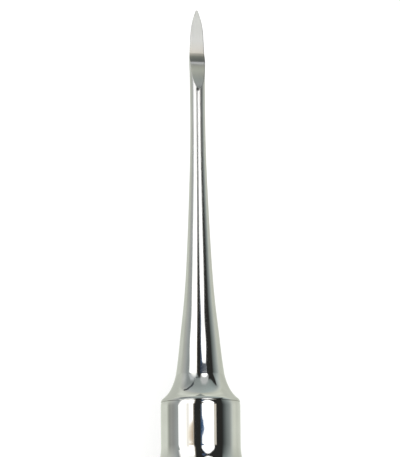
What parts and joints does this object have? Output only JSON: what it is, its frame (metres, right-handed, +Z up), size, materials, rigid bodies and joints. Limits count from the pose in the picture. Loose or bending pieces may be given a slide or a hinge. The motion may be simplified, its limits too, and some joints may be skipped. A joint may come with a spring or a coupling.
{
  "type": "dental elevator",
  "caption": "Straight root-tip elevator: narrow spear blade with a ground face on a conical shank, in a hollow octagonal grip of polished steel.",
  "frame": {"origin": "on the table, at the bottom centre of the bounding box, with the tool lying on one flat of its grip", "axes": "+Y along the tool towards the blade's tip, +Z up, out of the blade's ground face; the tool's axis is 8 mm above the table"},
  "size_m": [0.016, 0.15, 0.016],
  "materials": {
    "polished_steel": "mirror polished stainless steel, with a satin ground blade face",
    "turned_steel": "as turned",
    "pin_steel": "centreless ground"
  },
  "bodies": {
    "root": {"blade_shank": "polished_steel", "neck_collar": "polished_steel", "grip_shell": "polished_steel", "end_cap": "polished_steel", "tang_bush": "turned_steel", "tang_guide": "turned_steel", "end_plug": "turned_steel", "tang_pin": "pin_steel"}
  },
  "joints": []
}
